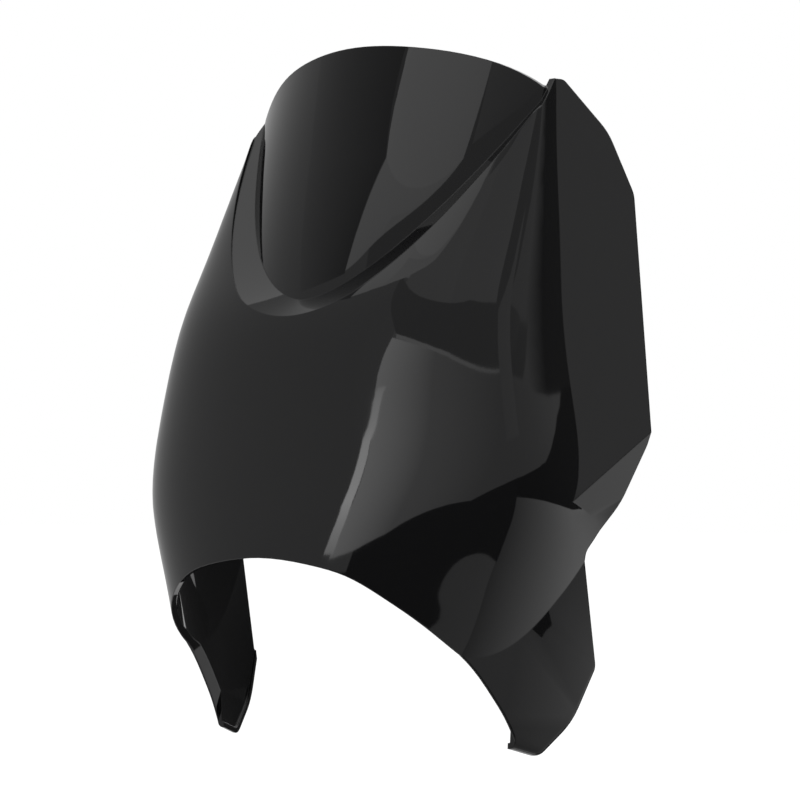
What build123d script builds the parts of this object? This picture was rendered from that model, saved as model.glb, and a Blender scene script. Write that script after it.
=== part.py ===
"""Headlight fairing for a motorbike: a one-piece moulded shell with four threaded inserts inside its sides.

Millimetres. The origin is the centre of the round headlight opening. -Y is the front, +Z is up, and the two
sides mirror each other in the plane X = 0.
"""

import math
import os
from collections import namedtuple

from build123d import *

# Walls
wall = 3.0
leg_return_radius = 3.6
leg_return_depth = 4.2

# Headlight opening, seen from the front: the top of the arch and its side going down, as (x, z)
opening_top = 93.0
opening_side = ((32.4, 89.6), (50.6, 84.6), (68.8, 73.2), (78.2, 64.4), (86.2, 52.2), (94.0, 24.0), (97.5, 0.0))
opening_bottom = -40.0
opening_reach = 18.0

# Body: rounded-square level sections from the top down
Level = namedtuple("Level", "height half_width widest_y front_y")
levels = (
    Level(345.0, 94.0, 54.0, 42.0),
    Level(320.0, 96.7, 49.4, 23.6),
    Level(295.0, 99.5, 44.8, 6.3),
    Level(270.0, 102.5, 40.4, -10.1),
    Level(245.0, 105.4, 36.2, -26.4),
    Level(220.0, 108.4, 32.2, -42.0),
    Level(195.0, 112.0, 28.9, -50.4),
    Level(170.0, 116.2, 26.8, -54.5),
    Level(145.0, 120.0, 27.6, -58.4),
    Level(120.0, 121.0, 33.6, -62.2),
    Level(95.0, 116.3, 45.2, -65.3),
    Level(70.0, 108.6, 54.4, -67.3),
    Level(45.0, 100.6, 59.0, -67.6),
    Level(20.0, 93.0, 60.0, -65.6),
)
squareness = 0.71
body_back = 110.0
beyond_sides = max(level.half_width for level in levels)

# Flat side faces: a point on the face, how far it turns from the front and how far it looks up
Face = namedtuple("Face", "point turn lift")
wing_face = Face((115.3, 43.2, 172.8), 68.0, 9.0)
wing_underside = Face((115.0, 55.5, 95.5), 85.3, -16.7)
leg_face = Face((115.0, 55.5, 95.5), 72.6, -3.3)
wing_root = 70.0
wing_block = ((10.0, 62.0), (104.0, 62.0), (104.0, 343.0), (56.0, 343.0), (10.0, 262.0))
leg_root = 60.0
leg_core_top = 88.0
leg_top = ((-60.0, 30.0), (-30.0, 49.5), (-22.0, 54.0), (6.5, 63.0), (55.5, 95.5), (90.0, 112.0))

# Side outline, as (y, z)
wing_peak = (67.5, 341.8)
wing_shoulder = (90.0, 315.5)
wing_upper_corner = (100.0, 283.0)
wing_lower_corner = (87.5, 150.0)
wing_heel = (77.0, 120.0)
waist = (55.5, 95.5)
leg_back_corner = (67.8, 31.0)
leg_heel = (56.5, 8.0)
leg_tip = (36.0, -8.5)
leg_front_corner = (18.0, -3.0)
peak_rounding = 4.0
upper_corner_rounding = 14.0
lower_corner_rounding = 16.0
waist_rounding = 5.0
leg_heel_rounding = 40.0
leg_tip_rounding = 8.0
leg_front_rounding = 6.0

# Lip around the screen recess: outlines in a raked plane through the lip's lowest point
lip_low = (-47.0, 213.8)
lip_rake = 40.1
lip_outline = ((0.0, -1.5), (65.0, -1.5), (105.0, 160.0), (103.0, 200.0))
foot_outline = ((0.0, 24.0), (16.5, 24.0), (79.0, 87.0), (90.0, 200.0))
foot_depth = 8.5
foot_tilt = 2.6
recess_clear = 60.0
past_middle = 10.0
lip_trim = 2.0

# Screen: a parabola in level section, carried up the rake, with a curved top edge as (x, drop below its middle)
screen_half_width = 93.0
screen_sweep = 47.0
screen_low = (-33.7, 213.8)
screen_rake = 18.0
screen_travel = 170.0
screen_top = 361.0
screen_top_side = ((37.0, 3.0), (63.0, 8.5), (82.6, 17.0), (93.4, 25.4))
screen_back = 57.0
screen_block_depth = 190.0
clear = 20.0
above_all = screen_low[1] + screen_travel + clear
behind_all = screen_block_depth + screen_travel + clear

# Threaded inserts and the bosses that hold them
insert_diameter = 8.0
insert_length = 10.0
insert_bore = 5.0
insert_flange_diameter = 10.0
insert_flange = 1.2
insert_chamfer = 0.4
boss_diameter = 14.0
boss_face_y = 34.0
boss_places = ((101.0, 118.0), (98.0, 192.0))
boss_reach = 110.0
rib_thickness = 2.5
rib_reach = 40.0


def face_plane(face, inset):
    """Plane of a flat side face, moved inwards by the inset."""
    turn, lift = math.radians(face.turn), math.radians(face.lift)
    out = Vector(math.sin(turn) * math.cos(lift), -math.cos(turn) * math.cos(lift), math.sin(lift))
    return Plane(origin=Vector(*face.point) - out * inset, z_dir=out)


def lip_plane(inset):
    """Raked plane through the lip, moved inwards by the inset. Its Y runs up the rake."""
    rake = math.radians(lip_rake)
    out = Vector(0, -math.cos(rake), math.sin(rake))
    return Plane(origin=Vector(0, *lip_low) - out * inset, x_dir=(1, 0, 0), z_dir=out)


def body_form(inset):
    """The right half of the rounded body below the lip, as a solid volume."""
    with BuildPart() as form:
        for level in levels:
            with BuildSketch(Plane.XY.offset(level.height)):
                with BuildLine():
                    front, side = level.front_y + inset, level.half_width - inset
                    reach = squareness * (level.widest_y - front)
                    Bezier((0, front), (squareness * side, front), (side, level.widest_y - reach),
                           (side, level.widest_y))
                    Polyline((side, level.widest_y), (side, body_back), (0, body_back), (0, front))
                make_face()
        loft()
        split(bisect_by=lip_plane(inset - lip_trim), keep=Keep.BOTTOM)
    return form.part


def wing_form(inset):
    """The right wing, behind its flat face and above its folded underside."""
    with BuildPart() as form:
        with BuildSketch(Plane.YZ.offset(wing_root)):
            Polygon(*wing_block, align=None)
        extrude(amount=beyond_sides)
        split(bisect_by=face_plane(wing_face, inset), keep=Keep.BOTTOM)
        split(bisect_by=face_plane(wing_underside, inset), keep=Keep.BOTTOM)
        split(bisect_by=lip_plane(inset - lip_trim), keep=Keep.BOTTOM)
    return form.part


def in_plane(edge, plane):
    """True for an edge that lies in the plane."""
    return all(abs((edge @ t - plane.origin).dot(plane.z_dir)) < 0.001 for t in (0, 0.5, 1))


def is_lower_rim(edge):
    """True for an edge along the bottom of the leg, from its front to its back."""
    middle = edge.center()
    return middle.Z < 60 and middle.Y > -25 and not (middle.Z > 50 and middle.Y < 40)


def leg_form(inset):
    """The right leg, behind its flat face, with a rounded return along the lower rim."""
    flat = face_plane(leg_face, inset)
    rise = (leg_back_corner[1] - leg_heel[1]) / (leg_back_corner[0] - leg_heel[0])
    rim_end = (leg_top[-1][0], leg_heel[1] + rise * (leg_top[-1][0] - leg_heel[0]))
    front_foot = (leg_top[0][0], leg_front_corner[1])
    with BuildPart() as form:
        with BuildSketch(Plane.YZ.offset(leg_root)) as outline:
            Polygon(*leg_top, rim_end, leg_heel, leg_tip, leg_front_corner, front_foot, align=None)
            fillet(outline.vertices().sort_by_distance(leg_heel)[0], radius=leg_heel_rounding)
            fillet(outline.vertices().sort_by_distance(leg_tip)[0], radius=leg_tip_rounding)
            fillet(outline.vertices().sort_by_distance(leg_front_corner)[0], radius=leg_front_rounding)
            if inset:
                offset(amount=-inset, kind=Kind.INTERSECTION)
        extrude(amount=beyond_sides)
        split(bisect_by=flat, keep=Keep.BOTTOM)
        rim = form.edges().filter_by(lambda edge: in_plane(edge, flat) and is_lower_rim(edge))
        fillet(rim, radius=leg_return_radius - inset)
    return form.part


def recess_form(inset):
    """The right half of the space over the recessed screen, down to the sloping wall inside the lip."""
    foot_plane = lip_plane(inset + foot_depth).rotated((foot_tilt, 0, 0))
    with BuildPart() as form:
        for plane, outline in ((foot_plane, foot_outline), (lip_plane(inset), lip_outline)):
            with BuildSketch(plane) as section:
                with BuildLine():
                    Bezier(*outline)
                    Polyline(outline[-1], (-past_middle, outline[-1][1]), (-past_middle, outline[0][1]), outline[0])
                make_face()
        loft(ruled=True)
        extrude(section.sketch, amount=recess_clear)
    return form.part


def screen_form(inset, depth):
    """The right half of the volume behind the screen panel: a parabola carried up the rake."""
    slope = 2 * screen_sweep / screen_half_width
    front = screen_low[0] + inset
    edge_x = screen_half_width - inset * slope / math.hypot(1, slope)
    edge_y = screen_low[0] + screen_sweep + inset / math.hypot(1, slope)
    with BuildPart() as form:
        with BuildSketch(Plane.XY.offset(screen_low[1])):
            with BuildLine():
                Bezier((0, front), (edge_x - (edge_y - front) / slope, front), (edge_x, edge_y))
                Polyline((edge_x, edge_y), (edge_x, depth), (0, depth), (0, front))
            make_face()
        extrude(amount=screen_travel, dir=(0, math.tan(math.radians(screen_rake)), 1))
    return form.part


# Bosses: round tubes that run forwards into the front wall, each with a level rib out to the side wall
with BuildPart() as bosses:
    for place in boss_places:
        with BuildSketch(Plane.XZ.offset(-boss_face_y)):
            with Locations(place):
                Circle(boss_diameter / 2)
                Rectangle(rib_reach, rib_thickness, align=(Align.MIN, Align.CENTER))
                Circle(insert_diameter / 2, mode=Mode.SUBTRACT)
        extrude(amount=boss_reach)

# Room behind the leg, deeper than its rolled rim
with BuildPart() as leg_core:
    with BuildSketch(Plane.YZ.offset(leg_root)):
        Polygon((opening_reach, opening_bottom), (body_back, opening_bottom), (body_back, leg_core_top),
                (opening_reach, leg_core_top), align=None)
    extrude(amount=beyond_sides)
    split(bisect_by=face_plane(leg_face, leg_return_depth), keep=Keep.BOTTOM)

# Everything the right half of the shell is hollow by
with BuildPart() as hollow:
    add(body_form(wall))
    add(wing_form(wall))
    add(leg_form(wall))
    add(leg_core)
    add(recess_form(wall), mode=Mode.SUBTRACT)
    add(bosses, mode=Mode.SUBTRACT)
    add(screen_form(wall, screen_block_depth + wall))

# Screen panel, solid to the back, with its curved top edge
with BuildPart() as screen:
    add(screen_form(0.0, screen_block_depth))
    with BuildSketch(Plane.XZ.offset(-behind_all)):
        with BuildLine():
            crown = [(0.0, screen_top)] + [(x, screen_top - drop) for x, drop in screen_top_side]
            Spline(*crown, tangents=((1, 0), (1, -1)))
            Polyline(crown[-1], (crown[-1][0], above_all), (0.0, above_all), crown[0])
        make_face()
    extrude(amount=2 * behind_all, mode=Mode.SUBTRACT)

# Right half of the shell
around_screen = body_form(0.0) + wing_form(0.0) - recess_form(0.0)
with BuildPart() as half:
    add(around_screen)
    add(screen.part)
    add(leg_form(0.0))

    # Rear edge, cut to the side outline
    with BuildSketch(Plane.YZ) as rear:
        behind_leg = (2 * leg_back_corner[0] - waist[0], 2 * leg_back_corner[1] - waist[1])
        Polygon((screen_back, above_all), (screen_back, wing_peak[1]), wing_peak, wing_shoulder, wing_upper_corner,
                wing_lower_corner, wing_heel, waist, behind_leg, (behind_all, behind_leg[1]),
                (behind_all, above_all), align=None)
        roundings = ((wing_peak, peak_rounding), (wing_shoulder, 2 * upper_corner_rounding),
                     (wing_upper_corner, upper_corner_rounding), (wing_lower_corner, lower_corner_rounding),
                     (wing_heel, 2 * lower_corner_rounding), (waist, waist_rounding))
        for corner, radius in roundings:
            fillet(rear.vertices().sort_by_distance(corner)[0], radius=radius)
    extrude(amount=2 * beyond_sides, mode=Mode.SUBTRACT)

    # Headlight opening through the front
    with BuildSketch(Plane.XZ.offset(-opening_reach)):
        with BuildLine():
            Spline((0.0, opening_top), *opening_side, tangents=((1, 0), (0.1, -1)))
            low = (opening_side[-1][0], opening_bottom)
            Polyline(opening_side[-1], low, (0, low[1]), (0, opening_top))
        make_face()
    extrude(amount=body_back, mode=Mode.SUBTRACT)

    # Moulded wall
    add(hollow, mode=Mode.SUBTRACT)

with BuildPart() as fairing_shell:
    add(half)
    mirror(about=Plane.YZ)

# Flanged insert, turned about its bore and repeated in the four bosses
with BuildPart() as threaded_inserts:
    for place in boss_places:
        mouth = Vector(place[0], boss_face_y, place[1])
        with BuildSketch(Plane(origin=mouth, x_dir=(1, 0, 0), z_dir=(0, 0, -1))):
            bore, flange, barrel = insert_bore / 2, insert_flange_diameter / 2, insert_diameter / 2
            Polygon((bore, -insert_flange), (flange, -insert_flange), (flange, 0), (barrel, 0),
                    (barrel, insert_length - insert_chamfer), (barrel - insert_chamfer, insert_length),
                    (bore, insert_length), align=None)
        revolve(axis=Axis(mouth, (0, 1, 0)))
    mirror(about=Plane.YZ)

os.makedirs("parts", exist_ok=True)
fairing_shell.part.label = "fairing_shell"
export_step(fairing_shell.part, "parts/fairing_shell.step")
threaded_inserts.part.label = "threaded_inserts"
export_step(threaded_inserts.part, "parts/threaded_inserts.step")
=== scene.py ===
"""Looks of the moulded headlight fairing: gloss black shell, brass inserts and a white studio."""

import logging
import math
from collections.abc import Sequence
from dataclasses import dataclass

import bpy
import numpy as np
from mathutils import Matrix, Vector

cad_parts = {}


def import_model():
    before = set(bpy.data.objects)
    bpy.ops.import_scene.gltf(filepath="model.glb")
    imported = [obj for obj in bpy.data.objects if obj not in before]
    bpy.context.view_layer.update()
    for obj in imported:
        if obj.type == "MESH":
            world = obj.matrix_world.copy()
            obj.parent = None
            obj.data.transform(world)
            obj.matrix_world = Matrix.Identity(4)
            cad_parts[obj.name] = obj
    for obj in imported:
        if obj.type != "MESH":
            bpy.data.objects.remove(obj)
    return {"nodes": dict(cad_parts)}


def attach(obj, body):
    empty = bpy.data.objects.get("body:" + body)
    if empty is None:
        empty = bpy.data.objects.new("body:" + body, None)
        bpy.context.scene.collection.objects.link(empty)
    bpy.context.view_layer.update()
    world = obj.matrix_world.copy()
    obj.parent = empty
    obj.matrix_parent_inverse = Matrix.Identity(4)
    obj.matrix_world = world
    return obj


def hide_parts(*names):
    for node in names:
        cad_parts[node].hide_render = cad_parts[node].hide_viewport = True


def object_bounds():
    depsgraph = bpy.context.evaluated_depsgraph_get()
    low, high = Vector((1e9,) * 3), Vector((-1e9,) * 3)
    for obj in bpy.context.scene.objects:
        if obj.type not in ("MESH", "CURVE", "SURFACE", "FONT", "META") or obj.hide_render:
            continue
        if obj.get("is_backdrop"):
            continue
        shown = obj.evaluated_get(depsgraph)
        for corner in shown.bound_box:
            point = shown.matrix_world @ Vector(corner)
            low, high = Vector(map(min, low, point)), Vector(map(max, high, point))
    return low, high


LOG = logging.getLogger("fairing")
MM = 0.001
ROOT = "root"
MIDDLE = Vector((0.05, -0.03, 0.17))
CLOUD_DETAIL = 4.0
SWELL_DETAIL = 1.0
BEVEL_SAMPLES = 6


@dataclass(frozen=True)
class Finish:
    """A surface finish in real values.

    Args:
        name: Name of the material.
        colour: sRGB colour as hex digits.
        roughness: Roughness of the surface.
        ripple_mm: Wavelength of the moulded or turned texture.
        ripple_height_mm: Height of that texture.
        wear: Share by which the roughness wanders over the surface.
        wear_mm: Size of the patches in which it wanders.
        edge_mm: Radius of the moulded or turned edges.
        ior: Index of refraction.
        metallic: 1 for a metal, 0 for anything else.
    """

    name: str
    colour: str
    roughness: float
    ripple_mm: float
    ripple_height_mm: float
    wear: float
    wear_mm: float = 9.0
    edge_mm: float = 0.3
    ior: float = 1.5
    metallic: float = 0.0


@dataclass(frozen=True)
class Board:
    """A curved board of the studio between four corners.

    Args:
        name: Name of the board.
        corners: Four corners in turn as (turn, rise, distance) from the object's middle, in
            degrees and metres, where turn 0 is the front and 90 the left side.
        levels: Brightness at each corner, where 1 is white.
    """

    name: str
    corners: tuple[tuple[float, float, float], ...]
    levels: tuple[float, float, float, float]


@dataclass(frozen=True)
class Surface:
    """A welded mesh as arrays, and which of its faces run into each other without a crease.

    Args:
        points: Place of each point.
        faces: Points of each face, by number.
        flat: Normal of each face.
        areas: Area of each face.
        beside: Smooth neighbours of each face, by number.
    """

    points: np.ndarray
    faces: list[tuple[int, ...]]
    flat: np.ndarray
    areas: np.ndarray
    beside: list[list[int]]


# Black lacquer over moulded plastic: a deep black that mirrors the room, with the faint swell of
# a moulding
GLOSS_BLACK = Finish("gloss_black_plastic", "#0b0b0c", 0.035, ripple_mm=38.0,
                     ripple_height_mm=0.02, wear=0.3, edge_mm=0.9)
# Turned brass: yellow metal with fine tool marks that blur its shine
TURNED_BRASS = Finish("turned_brass", "#d9b36a", 0.28, ripple_mm=0.35, ripple_height_mm=0.01,
                      wear=0.2, metallic=1.0)

BOARDS: tuple[Board, ...] = (
    # Walls and ceiling
    Board("wall_far_left",
          ((-150, -35, 3.4), (-100, -35, 3.4), (-100, 60, 3.4), (-150, 60, 3.4)),
          (0.6, 0.5, 0.42, 0.35)),
    Board("wall_left",
          ((-100, -35, 3.4), (-60, -35, 3.4), (-60, 60, 3.4), (-100, 60, 3.4)),
          (0.5, 0.5, 0.45, 0.42)),
    Board("wall_near_left",
          ((-60, -35, 3.4), (-16, -35, 3.4), (-16, 60, 3.4), (-60, 60, 3.4)),
          (0.5, 0.48, 0.45, 0.45)),
    Board("wall_by_tube",
          ((-17, 2, 3.3), (-5, -1, 3.3), (-1, 45, 3.3), (-17, 60, 3.3)),
          (0.48, 0.5, 0.48, 0.45)),
    Board("ceiling_front",
          ((-16, 20, 3.4), (45, 20, 3.4), (45, 75, 3.4), (-16, 75, 3.4)),
          (0.6, 0.65, 0.65, 0.6)),
    Board("ceiling_side",
          ((45, 12, 3.4), (105, 12, 3.4), (105, 75, 3.4), (45, 75, 3.4)),
          (0.62, 0.62, 0.62, 0.62)),
    Board("ceiling_dark",
          ((97, 24, 3.35), (130, 24, 3.35), (130, 40, 3.35), (101, 40, 3.35)),
          (0.32, 0.28, 0.3, 0.32)),
    Board("side_upper",
          ((104, 12, 3.4), (129, 12, 3.4), (129, 40, 3.4), (104, 40, 3.4)),
          (0.5, 0.42, 0.42, 0.5)),
    Board("valley_fade",
          ((129, 12, 3.3), (143, 12, 3.3), (143, 32, 3.3), (129, 32, 3.3)),
          (0.42, 0.07, 0.07, 0.42)),
    Board("valley_dark",
          ((143, 12, 3.3), (172, 12, 3.3), (172, 19, 3.3), (143, 32, 3.3)),
          (0.07, 0.06, 0.06, 0.07)),
    Board("wing_wall",
          ((101, 13, 2.85), (114, 13, 2.85), (114, 27, 2.85), (101, 27, 2.85)),
          (0.5, 0.5, 0.5, 0.5)),
    # Floor, the dark band over it, and the dark side and back
    Board("floor_front",
          ((-16, -75, 3.4), (50, -75, 3.4), (50, -26, 3.4), (-16, -26, 3.4)),
          (0.3, 0.45, 0.45, 0.3)),
    Board("floor_side",
          ((50, -75, 3.4), (108, -75, 3.4), (108, -29, 3.4), (50, -26, 3.4)),
          (0.42, 0.42, 0.45, 0.42)),
    Board("band_front",
          ((-16, -26, 3.35), (60, -26.5, 3.35), (60, 20, 3.35), (-16, 20, 3.35)),
          (0.06, 0.06, 0.06, 0.06)),
    Board("band_side",
          ((60, -26.5, 3.35), (109, -29.5, 3.35), (109, 12, 3.35), (60, 20, 3.35)),
          (0.06, 0.06, 0.06, 0.06)),
    Board("side_lower",
          ((108, -75, 3.4), (158, -75, 3.4), (158, -7.5, 3.4), (108, -7.5, 3.4)),
          (0.15, 0.3, 1.1, 0.36)),
    Board("side_dark",
          ((109, -7.5, 3.3), (195, -7.5, 3.3), (195, 12, 3.3), (109, 12, 3.3)),
          (0.05, 0.05, 0.05, 0.05)),
    Board("back_dark",
          ((158, -60, 3.4), (195, -60, 3.4), (195, -7.5, 3.4), (158, -7.5, 3.4)),
          (0.05, 0.05, 0.05, 0.05)),
    Board("back_low",
          ((147, -60, 3.35), (195, -60, 3.35), (195, -26, 3.35), (147, -26, 3.35)),
          (0.08, 0.05, 0.05, 0.08)),
    # Bright window in three runs
    Board("window_front",
          ((-15.3, 3.23, 3.03), (11.2, -1.86, 3.03), (34.7, 29.8, 3.03), (-2.05, 33.1, 3.03)),
          (2, 0.85, 0.8, 2)),
    Board("window_middle",
          ((11.2, -1.86, 3.03), (67.5, -6.8, 3.05), (101.8, 21.1, 3.06), (34.7, 29.8, 3.03)),
          (0.85, 0.5, 0.45, 0.8)),
    Board("window_side",
          ((67.5, -6.8, 3.05), (133.9, 6, 3.08), (148.5, 12.1, 3.09), (101.8, 21.1, 3.06)),
          (0.5, 0.38, 0.38, 0.45)),
    # Dim beam over the window, and the thin bright line between them
    Board("beam_front",
          ((-0.06, 34.9, 3.03), (38, 30, 3.03), (67.9, 40.4, 3.06), (-24.5, 60.4, 3.05)),
          (0.33, 0.33, 0.33, 0.33)),
    Board("beam_middle",
          ((38, 30, 3.03), (102.1, 21.2, 3.06), (124.7, 18.6, 3.08), (67.9, 40.4, 3.06)),
          (0.33, 0.31, 0.31, 0.33)),
    Board("beam_side",
          ((102.1, 21.2, 3.06), (123.3, 17.3, 3.07), (131.5, 16.8, 3.08), (124.7, 18.6, 3.08)),
          (0.28, 0.26, 0.26, 0.28)),
    Board("line_front",
          ((0.71, 33.1, 2.93), (38.2, 28.9, 2.93), (38, 30, 2.93), (-0.05, 35, 2.93)),
          (1.3, 1.2, 1.2, 1.3)),
    Board("line_middle",
          ((38.2, 28.9, 2.93), (101.4, 21.1, 2.96), (102.1, 21.2, 2.96), (38, 30, 2.93)),
          (1.2, 1, 1, 1.2)),
    # Bright tube in three runs
    Board("tube_upper",
          ((-6.7, 19.6, 2.82), (-13.1, 16.7, 2.81), (-9.4, 16.9, 2.81), (-2.27, 20.3, 2.82)),
          (2.5, 4, 4, 2.5)),
    Board("tube_middle",
          ((-13.1, 16.7, 2.81), (-16.3, 10.5, 2.82), (-12.6, 10.1, 2.82), (-9.4, 16.9, 2.81)),
          (4, 4.5, 4.5, 4)),
    Board("tube_lower",
          ((-16.3, 10.5, 2.82), (-18.2, 4.2, 2.83), (-14.2, 3.24, 2.83), (-12.6, 10.1, 2.82)),
          (4.5, 2.5, 2.5, 4.5)),
    # Near boards that the screen mirrors
    Board("screen_dark_upper",
          ((-130, 66.2, 0.36), (-93.2, 54.4, 0.2), (-53.1, 80.1, 0.17), (-177.8, 89.7, 0.34)),
          (0.4, 0.42, 0.2, 0.22)),
    Board("screen_dark_lower",
          ((-93.2, 54.4, 0.2), (-71.8, 42.5, 0.13), (-46.8, 60.1, 0.12), (-53.1, 80.1, 0.17)),
          (0.42, 0.42, 0.2, 0.2)),
    Board("screen_bright_upper",
          ((-192.8, 93.6, 0.33), (-52.1, 80.4, 0.17), (101.5, 74, 0.17), (156.3, 74, 0.31)),
          (1.6, 1.35, 1.1, 1.2)),
    Board("screen_bright_lower",
          ((-52.1, 80.4, 0.17), (-47.4, 60.8, 0.12), (-14.5, 81.9, 0.13), (101.5, 74, 0.17)),
          (1.2, 1.1, 1, 1)),
    Board("screen_right",
          ((148.6, 75.9, 0.3), (105.7, 72.9, 0.18), (120, 64.9, 0.21), (130.4, 60.5, 0.25)),
          (0.5, 0.45, 0.35, 0.35)),
)


def linear(hex_colour: str) -> tuple[float, float, float, float]:
    """Converts an sRGB hex colour to linear light.

    Args:
        hex_colour: Colour such as "#1a2b3c".

    Returns:
        Red, green, blue and alpha.
    """
    values = []
    for start in (1, 3, 5):
        value = int(hex_colour[start:start + 2], 16) / 255
        values.append(value / 12.92 if value <= 0.04045 else ((value + 0.055) / 1.055) ** 2.4)
    return (*values, 1.0)


def grey(level: float) -> tuple[float, float, float, float]:
    """Returns a neutral linear colour."""
    return (level, level, level, 1.0)


def blend(shares: Sequence[float], values: Sequence[float]) -> float:
    """Returns the sum of the values, each times its share."""
    return sum(share * value for share, value in zip(shares, values))


def spot(turn: float, rise: float, distance: float) -> Vector:
    """Finds the place in a direction from the object's middle.

    Args:
        turn: Degrees round from the front, towards the left side.
        rise: Degrees up from level.
        distance: Metres from the middle.

    Returns:
        The place.
    """
    turn, rise = math.radians(turn), math.radians(rise)
    level = math.cos(rise)
    out = Vector((math.sin(turn) * level, -math.cos(turn) * level, math.sin(rise)))
    return MIDDLE + out * distance


def add_node(tree: bpy.types.NodeTree, kind: str, place: tuple[float, float],
             links: dict[str | int, bpy.types.NodeSocket] | None = None,
             **values: object) -> bpy.types.Node:
    """Adds a node with its settings and links.

    Args:
        tree: Tree that gets the node.
        kind: Type of the node.
        place: Place in the editor.
        links: Output that feeds each linked input, by the input's name or number.
        values: Properties, or unlinked inputs by name with spaces as underscores.

    Returns:
        The node.
    """
    node = tree.nodes.new(kind)
    node.location = place
    for key, value in values.items():
        if hasattr(node, key):
            setattr(node, key, value)
        else:
            node.inputs[key.replace("_", " ")].default_value = value
    for key, output in (links or {}).items():
        tree.links.new(output, node.inputs[key])
    return node


def blank_material(name: str) -> bpy.types.Material:
    """Makes a material with an empty node tree.

    Args:
        name: Name of the material.

    Returns:
        The material.
    """
    material = bpy.data.materials.new(name)
    material.use_nodes = True
    material.node_tree.nodes.clear()
    return material


@dataclass(frozen=True)
class MaterialMaker:
    """Makes the node material of a finish.

    Args:
        finish: Finish to make.
    """

    finish: Finish

    def make(self) -> bpy.types.Material:
        """Builds the material.

        Returns:
            The material, with its patterns in real millimetres on Object coordinates.
        """
        finish = self.finish
        material = blank_material(finish.name)
        tree = material.node_tree
        place = add_node(tree, "ShaderNodeTexCoord", (-900, 0)).outputs["Object"]
        cloud = add_node(tree, "ShaderNodeTexNoise", (-600, 200), {"Vector": place},
                         Scale=1 / (finish.wear_mm * MM), Detail=CLOUD_DETAIL)
        spread = add_node(tree, "ShaderNodeMapRange", (-300, 200),
                          {"Value": cloud.outputs["Fac"]},
                          To_Min=finish.roughness * (1 - finish.wear),
                          To_Max=finish.roughness * (1 + finish.wear))
        swell = add_node(tree, "ShaderNodeTexNoise", (-600, -200), {"Vector": place},
                         Scale=1 / (finish.ripple_mm * MM), Detail=SWELL_DETAIL)
        edge = add_node(tree, "ShaderNodeBevel", (-300, -400), samples=BEVEL_SAMPLES,
                        Radius=finish.edge_mm * MM)
        bump = add_node(tree, "ShaderNodeBump", (0, -200),
                        {"Height": swell.outputs["Fac"], "Normal": edge.outputs["Normal"]},
                        Strength=1.0, Distance=finish.ripple_height_mm * MM)
        shader = add_node(tree, "ShaderNodeBsdfPrincipled", (300, 0),
                          {"Roughness": spread.outputs["Result"],
                           "Normal": bump.outputs["Normal"]},
                          Base_Color=linear(finish.colour), Roughness=finish.roughness,
                          IOR=finish.ior, Metallic=finish.metallic)
        add_node(tree, "ShaderNodeOutputMaterial", (600, 0), {"Surface": shader.outputs["BSDF"]})
        return material


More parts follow.
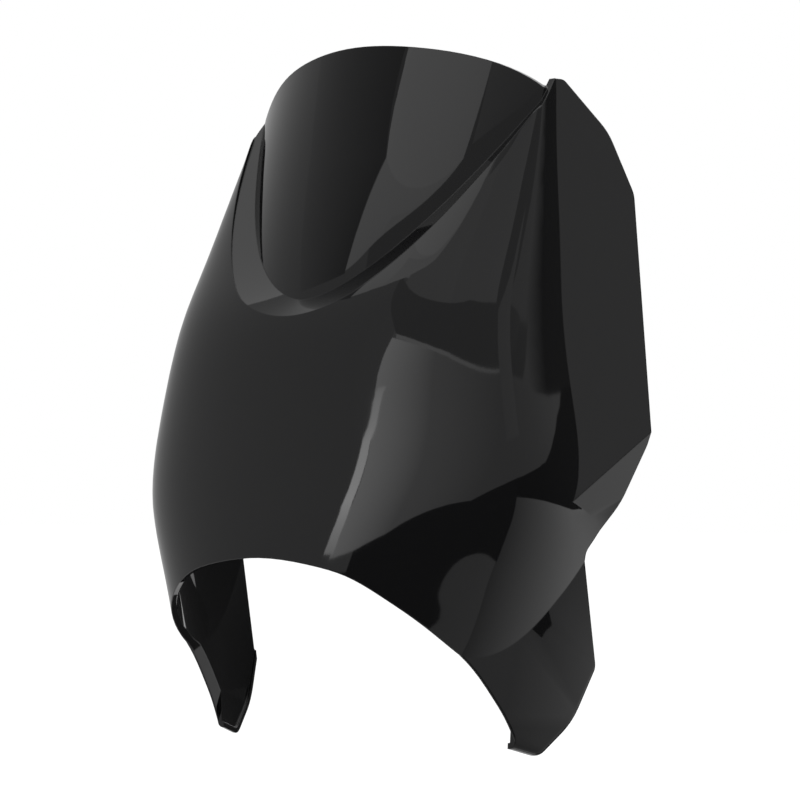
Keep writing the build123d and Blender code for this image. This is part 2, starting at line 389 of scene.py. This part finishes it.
@dataclass(frozen=True)
class Skin:
    """The visible surface of a CAD node: its own form, welded and smoothly shaded.

    Args:
        node: CAD node whose form is copied.
        name: Name of the skin.
        weld_mm: Distance within which points become one.
        crease_deg: Angle above which an edge counts as sharp.
        fit_rings: Rings of faces round a point that its curved surface is fitted through.
        fit_points: Fewest points that a surface is fitted through.
        fit_reach_mm: Distance that softens the weight of the nearest points.
        fit_turn_deg: Most that a fitted normal may turn away from the plain one.
        fit_cutoff: Share of the strongest term below which a term of the fit is left out.
        steep: Share of X in a normal from which Y is the helper axis.
    """

    node: bpy.types.Object
    name: str
    weld_mm: float = 0.002
    crease_deg: float = 9.0
    fit_rings: int = 3
    fit_points: int = 8
    fit_reach_mm: float = 0.5
    fit_turn_deg: float = 12.0
    fit_cutoff: float = 1e-6
    steep: float = 0.8

    def make(self) -> bpy.types.Object:
        """Copies the node, welds it and shades it.

        Returns:
            The skin, at the origin with its place in the mesh.
        """
        bpy.ops.object.select_all(action="DESELECT")
        skin = self.node.copy()
        skin.data = self.node.data.copy()
        skin.name = self.name
        bpy.context.scene.collection.objects.link(skin)
        bpy.context.view_layer.objects.active = skin
        skin.select_set(True)
        skin.data.materials.clear()
        if skin.data.has_custom_normals:
            bpy.ops.mesh.customdata_custom_splitnormals_clear()
        bpy.ops.object.mode_set(mode="EDIT")
        bpy.ops.mesh.select_all(action="SELECT")
        bpy.ops.mesh.remove_doubles(threshold=self.weld_mm * MM)
        bpy.ops.mesh.dissolve_degenerate(threshold=self.weld_mm * MM)
        bpy.ops.object.mode_set(mode="OBJECT")
        bpy.ops.object.shade_smooth_by_angle(angle=math.radians(self.crease_deg))
        self.shade(skin.data)
        return skin

    def shade(self, mesh: bpy.types.Mesh) -> None:
        """Gives each corner the normal of the curved surface through the points round it.

        Args:
            mesh: Welded mesh, whose points all lie on the true surface.
        """
        surface = self.read(mesh)
        normals = np.zeros((len(mesh.loops), 3))
        done: dict[tuple[int, int], np.ndarray] = {}
        for number, face in enumerate(surface.faces):
            for loop, centre in zip(mesh.polygons[number].loop_indices, face):
                if (number, centre) not in done:
                    fan = self.smooth_fan(surface, number, centre)
                    normal = self.fitted_normal(surface, centre, fan)
                    done.update({(member, centre): normal for member in fan})
                normals[loop] = done[(number, centre)]
        mesh.normals_split_custom_set(normals.tolist())

    def read(self, mesh: bpy.types.Mesh) -> Surface:
        """Reads a mesh as arrays.

        Args:
            mesh: Welded mesh.

        Returns:
            Its arrays, with the smooth neighbours of each face.
        """
        faces = [tuple(face.vertices) for face in mesh.polygons]
        flat = np.array([face.normal for face in mesh.polygons])
        by_edge: dict[tuple[int, int], list[int]] = {}
        for number, face in enumerate(faces):
            for edge in zip(face, face[1:] + face[:1]):
                by_edge.setdefault((min(edge), max(edge)), []).append(number)
        beside: list[list[int]] = [[] for _ in faces]
        smooth = math.cos(math.radians(self.crease_deg))
        for pair in by_edge.values():
            if len(pair) == 2 and flat[pair[0]] @ flat[pair[1]] > smooth:
                beside[pair[0]].append(pair[1])
                beside[pair[1]].append(pair[0])
        points = np.array([vertex.co for vertex in mesh.vertices])
        areas = np.array([face.area for face in mesh.polygons])
        return Surface(points, faces, flat, areas, beside)

    @staticmethod
    def smooth_fan(surface: Surface, first: int, centre: int) -> set[int]:
        """Collects the faces round a point that run into each other without a crease.

        Args:
            surface: Surface that they are on.
            first: Number of the face to start from.
            centre: Number of the point.

        Returns:
            Numbers of the faces.
        """
        fan, waiting = {first}, [first]
        while waiting:
            for other in surface.beside[waiting.pop()]:
                if centre in surface.faces[other] and other not in fan:
                    fan.add(other)
                    waiting.append(other)
        return fan

    def fitted_normal(self, surface: Surface, centre: int, fan: set[int]) -> np.ndarray:
        """Fits a curved surface through the points round a point.

        Args:
            surface: Surface that they are on.
            centre: Number of the point.
            fan: Numbers of the faces round it.

        Returns:
            The fitted surface's normal at the point, or the faces' own where no fit is good.
        """
        members = list(fan)
        plain = (surface.flat[members] * surface.areas[members, None]).sum(axis=0)
        plain /= np.linalg.norm(plain)
        near = set(fan)
        for _ in range(self.fit_rings):
            near |= {other for member in near for other in surface.beside[member]}
        ring = list({corner for member in near for corner in surface.faces[member]} - {centre})
        if len(ring) < self.fit_points:
            return plain
        helper = (1.0, 0.0, 0.0) if abs(plain[0]) < self.steep else (0.0, 1.0, 0.0)
        across = np.cross(plain, helper)
        across /= np.linalg.norm(across)
        along = np.cross(plain, across)
        away = surface.points[ring] - surface.points[centre]
        u, v, height = away @ across, away @ along, away @ plain
        weight = 1 / (np.linalg.norm(away, axis=1) + self.fit_reach_mm * MM)
        table = np.stack((u, v, u * u, u * v, v * v), axis=1) * weight[:, None]
        slope = np.linalg.lstsq(table, height * weight, rcond=self.fit_cutoff)[0]
        normal = plain - slope[0] * across - slope[1] * along
        normal /= np.linalg.norm(normal)
        return normal if normal @ plain > math.cos(math.radians(self.fit_turn_deg)) else plain


@dataclass(frozen=True)
class Studio:
    """White surroundings, floor, lamp, boards, and the camera of the photograph.

    Args:
        world_light: Strength of the world as light.
        floor_size: Side of the floor in metres.
        floor_drop: Metres from the object's origin down to the floor.
        floor_shade: Grey level of the floor's paint.
        floor_lift: Glow that makes the floor white to the eye.
        lamp_size: Side of the lamp in metres.
        lamp_watts: Power of the lamp.
        lamp_spot: Turn, rise and distance of the lamp from the object's middle.
        board_cuts: Cuts each way that let a board curve.
        lens_mm: Focal length of the camera.
        sensor_mm: Width of its sensor.
        camera_place: Place of the camera.
        camera_aim: Point that it looks at.
    """

    world_light: float = 0.75
    floor_size: float = 40.0
    floor_drop: float = 0.3
    floor_shade: float = 0.7
    floor_lift: float = 0.55
    lamp_size: float = 2.0
    lamp_watts: float = 22.0
    lamp_spot: tuple[float, float, float] = (20.0, 50.0, 3.0)
    board_cuts: int = 11
    lens_mm: float = 108.0
    sensor_mm: float = 36.0
    camera_place: tuple[float, float, float] = (0.7612, -0.9938, 0.1271)
    camera_aim: tuple[float, float, float] = (0.0, 0.054, 0.1755)

    def world(self) -> None:
        """Makes the world white to the eye, in gloss and through glass, and grey as light."""
        world = bpy.data.worlds.new("studio")
        bpy.context.scene.world = world
        world.use_nodes = True
        tree = world.node_tree
        tree.nodes.clear()
        ray = add_node(tree, "ShaderNodeLightPath", (-500, 300)).outputs
        seen = add_node(tree, "ShaderNodeMath", (-250, 300),
                        {0: ray["Is Camera Ray"], 1: ray["Is Glossy Ray"]},
                        operation="ADD", use_clamp=True)
        seen_through = add_node(tree, "ShaderNodeMath", (-50, 300),
                                {0: seen.outputs[0], 1: ray["Is Transmission Ray"]},
                                operation="ADD", use_clamp=True)
        light = add_node(tree, "ShaderNodeBackground", (100, 150), Color=grey(1.0),
                         Strength=self.world_light)
        white = add_node(tree, "ShaderNodeBackground", (100, -50), Color=grey(1.0), Strength=1.0)
        mix = add_node(tree, "ShaderNodeMixShader", (350, 0),
                       {"Fac": seen_through.outputs[0], 1: light.outputs[0], 2: white.outputs[0]})
        add_node(tree, "ShaderNodeOutputWorld", (600, 0), {"Surface": mix.outputs[0]})

    def floor(self) -> None:
        """Lays a pale floor well below the object, which hangs on its mounts."""
        bpy.ops.object.select_all(action="DESELECT")
        bpy.ops.mesh.primitive_plane_add(size=self.floor_size, location=(0, 0, -self.floor_drop))
        floor = bpy.context.active_object
        floor.name = "floor"
        floor.visible_glossy = False
        material = blank_material("pale_floor")
        tree = material.node_tree
        ray = add_node(tree, "ShaderNodeLightPath", (-400, -100))
        lift = add_node(tree, "ShaderNodeMath", (-150, -100), {0: ray.outputs["Is Camera Ray"]},
                        operation="MULTIPLY")
        lift.inputs[1].default_value = self.floor_lift
        matt = add_node(tree, "ShaderNodeBsdfDiffuse", (100, 100), Color=grey(self.floor_shade))
        glow = add_node(tree, "ShaderNodeEmission", (100, -100), {"Strength": lift.outputs[0]},
                        Color=grey(1.0))
        both = add_node(tree, "ShaderNodeAddShader", (350, 0),
                        {0: matt.outputs[0], 1: glow.outputs[0]})
        add_node(tree, "ShaderNodeOutputMaterial", (600, 0), {"Surface": both.outputs[0]})
        floor.data.materials.append(material)
        floor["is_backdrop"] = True

    def lamp(self) -> None:
        """Hangs one wide soft lamp in front and above, which lights but isn't mirrored."""
        data = bpy.data.lights.new("soft_lamp", "AREA")
        data.shape, data.size, data.energy = "SQUARE", self.lamp_size, self.lamp_watts
        lamp = bpy.data.objects.new("soft_lamp", data)
        lamp.location = spot(*self.lamp_spot)
        lamp.rotation_euler = (lamp.location - MIDDLE).to_track_quat("Z", "Y").to_euler()
        lamp.visible_glossy = lamp.visible_camera = False
        bpy.context.scene.collection.objects.link(lamp)

    def board(self, board: Board) -> None:
        """Stands a board round the object, seen only in its gloss.

        Args:
            board: What to stand, and where.
        """
        bpy.ops.object.select_all(action="DESELECT")
        bpy.ops.mesh.primitive_plane_add(size=1)
        plane = bpy.context.active_object
        plane.name = board.name
        bpy.ops.object.mode_set(mode="EDIT")
        bpy.ops.mesh.subdivide(number_cuts=self.board_cuts)
        bpy.ops.object.mode_set(mode="OBJECT")
        shade = plane.data.attributes.new("level", "FLOAT", "POINT")
        for vertex in plane.data.vertices:
            across, up = vertex.co.x + 0.5, vertex.co.y + 0.5
            shares = ((1 - across) * (1 - up), across * (1 - up), across * up, (1 - across) * up)
            vertex.co = spot(*(blend(shares, values) for values in zip(*board.corners)))
            shade.data[vertex.index].value = blend(shares, board.levels)
        plane.visible_camera = plane.visible_diffuse = plane.visible_shadow = False
        plane.visible_transmission = False
        material = blank_material(board.name)
        tree = material.node_tree
        level = add_node(tree, "ShaderNodeAttribute", (-300, 0), attribute_name="level")
        glow = add_node(tree, "ShaderNodeEmission", (0, 0), {"Strength": level.outputs["Fac"]},
                        Color=grey(1.0))
        add_node(tree, "ShaderNodeOutputMaterial", (300, 0), {"Surface": glow.outputs[0]})
        plane.data.materials.append(material)
        plane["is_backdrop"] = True

    def camera(self) -> None:
        """Places the camera as fitted to the photograph."""
        data = bpy.data.cameras.new("camera")
        data.lens, data.sensor_width = self.lens_mm, self.sensor_mm
        camera = bpy.data.objects.new("camera", data)
        camera.location = self.camera_place
        look = Vector(self.camera_aim) - camera.location
        camera.rotation_euler = look.to_track_quat("-Z", "Y").to_euler()
        bpy.context.scene.collection.objects.link(camera)
        bpy.context.scene.camera = camera


def corners() -> list[list[float]]:
    """Returns the lowest and highest corner of what shows, as plain lists."""
    return [list(corner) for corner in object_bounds()]


def main() -> None:
    """Builds the looks in order, and reports each piece."""
    logging.basicConfig(level=logging.INFO, format="%(name)s: %(message)s")
    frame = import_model()
    bpy.context.scene.view_settings.view_transform = "Standard"
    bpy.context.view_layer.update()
    nodes = frame["nodes"]

    shell = Skin(nodes["fairing_shell"], "fairing_skin").make()
    shell.data.materials.append(MaterialMaker(GLOSS_BLACK).make())
    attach(shell, ROOT)
    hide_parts("fairing_shell")
    LOG.info("shell: %d faces", len(shell.data.polygons))

    inserts = nodes["threaded_inserts"]
    inserts.data.materials.clear()
    inserts.data.materials.append(MaterialMaker(TURNED_BRASS).make())
    LOG.info("inserts: %d faces", len(inserts.data.polygons))

    studio = Studio()
    studio.world()
    studio.floor()
    studio.lamp()
    for board in BOARDS:
        studio.board(board)
    studio.camera()
    LOG.info("studio: %d boards", len(BOARDS))
    LOG.info("done")


if __name__ == "__main__":
    main()
